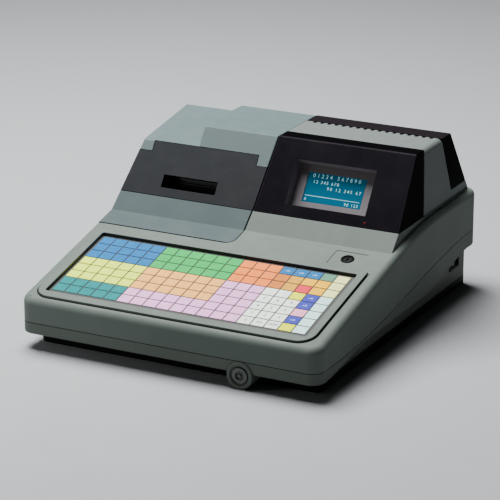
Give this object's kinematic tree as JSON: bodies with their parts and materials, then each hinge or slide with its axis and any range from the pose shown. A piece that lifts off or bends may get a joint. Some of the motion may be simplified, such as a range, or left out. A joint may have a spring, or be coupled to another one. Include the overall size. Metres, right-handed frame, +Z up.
{
  "type": "electronic till",
  "caption": "Counter-top till: flat membrane keyboard in a sloping deck, display pod with a sunken screen, mode lock, and a receipt printer under a lift-up cover with a smoked window.",
  "frame": {"origin": "on the surface that the till stands on, under the middle of its outer box", "axes": "+X to the right of the person at the keyboard, +Y to the back, +Z up"},
  "size_m": [0.4, 0.474, 0.2162],
  "materials": {
    "case_grey": "fine-grained moulding",
    "lower_grey": "fine-grained moulding",
    "pod_grey": "fine-grained moulding",
    "base_black": "matt",
    "gloss_black": "satin gloss",
    "smoked": "smoked, glossy",
    "rubber": "matt",
    "bezel_grey": "matt",
    "display_blue": "lit display behind clear glass",
    "lamp_red": "clear red",
    "steel": "plain",
    "dark_steel": "dark coated",
    "aluminium": "plain",
    "brass": "plain",
    "nylon": "plain",
    "board_green": "solder mask",
    "paper": "plain",
    "film": "printed film, colour-coded cells"
  },
  "bodies": {
    "till": {"upper_case": "case_grey", "lower_case": "lower_grey", "base_pan": "base_black", "foot_front_left": "rubber", "foot_front_right": "rubber", "foot_rear_left": "rubber", "foot_rear_right": "rubber", "keyboard_overlay": "film", "keyboard_plate": "steel", "keyboard_board": "board_green", "lock_plate": "case_grey", "lock_body": "dark_steel", "lock_nut": "steel", "reader_boss": "lower_grey", "contact_ring": "steel", "contact_pin": "steel", "switch_body": "base_black", "display_frame": "gloss_black", "display_housing": "pod_grey", "rear_cover": "gloss_black", "display_bezel": "bezel_grey", "display_glass": "display_blue", "display_module": "board_green", "status_lamp": "lamp_red", "customer_lens": "smoked", "customer_module": "board_green", "hinge_pin_left": "steel", "hinge_pin_right": "steel", "printer_stand": "steel", "printer_frame": "dark_steel", "idler_pin": "steel", "feed_motor": "dark_steel", "thermal_head": "aluminium", "tear_bar": "steel", "roll_cradle": "base_black", "main_board": "board_green", "power_supply": "steel", "power_inlet": "base_black", "rear_ports": "base_black"},
    "cover": {"printer_cover": "case_grey", "cover_window": "smoked"},
    "lock": {"lock_barrel": "base_black"},
    "rocker": {"power_rocker": "gloss_black"},
    "platen": {"platen_roller": "rubber", "platen_shaft": "steel", "platen_gear": "nylon"},
    "idler": {"idler_gear": "nylon"},
    "pinion": {"motor_pinion": "brass", "motor_shaft": "steel"},
    "roll": {"paper_roll": "paper", "roll_spindle": "nylon"}
  },
  "joints": [
    {"name": "cover_hinge", "type": "hinge", "parent": "till", "child": "cover", "pos_m": [-0.102, 0.229, 0.13448], "axis": [-1, 0, 0], "range_deg": [0, 85]},
    {"name": "mode_lock_turn", "type": "hinge", "parent": "till", "child": "lock", "pos_m": [0.145, -0.04232, 0.10773], "axis": [0, -0.2233, 0.9748], "range_deg": [-30, 120]},
    {"name": "power_rocker_tilt", "type": "hinge", "parent": "till", "child": "rocker", "pos_m": [0.183, 0.189, 0.038], "axis": [0, 0, -1], "range_deg": [0, 14]},
    {"name": "platen_spin", "type": "hinge", "parent": "till", "child": "platen", "pos_m": [-0.10276, 0.05501, 0.14698], "axis": [1, 0, 0], "continuous": true},
    {"name": "idler_spin", "type": "hinge", "parent": "till", "child": "idler", "pos_m": [-0.15376, 0.06424, 0.1216], "axis": [1, 0, 0], "continuous": true},
    {"name": "pinion_spin", "type": "hinge", "parent": "till", "child": "pinion", "pos_m": [-0.15376, 0.08367, 0.11128], "axis": [1, 0, 0], "continuous": true},
    {"name": "paper_roll_spin", "type": "hinge", "parent": "till", "child": "roll", "pos_m": [-0.10276, 0.15898, 0.11798], "axis": [1, 0, 0], "continuous": true}
  ],
  "couplings": [
    {"joint": "idler_spin", "follows": "platen_spin", "ratio": -0.8},
    {"joint": "pinion_spin", "follows": "platen_spin", "ratio": 1.7143}
  ]
}
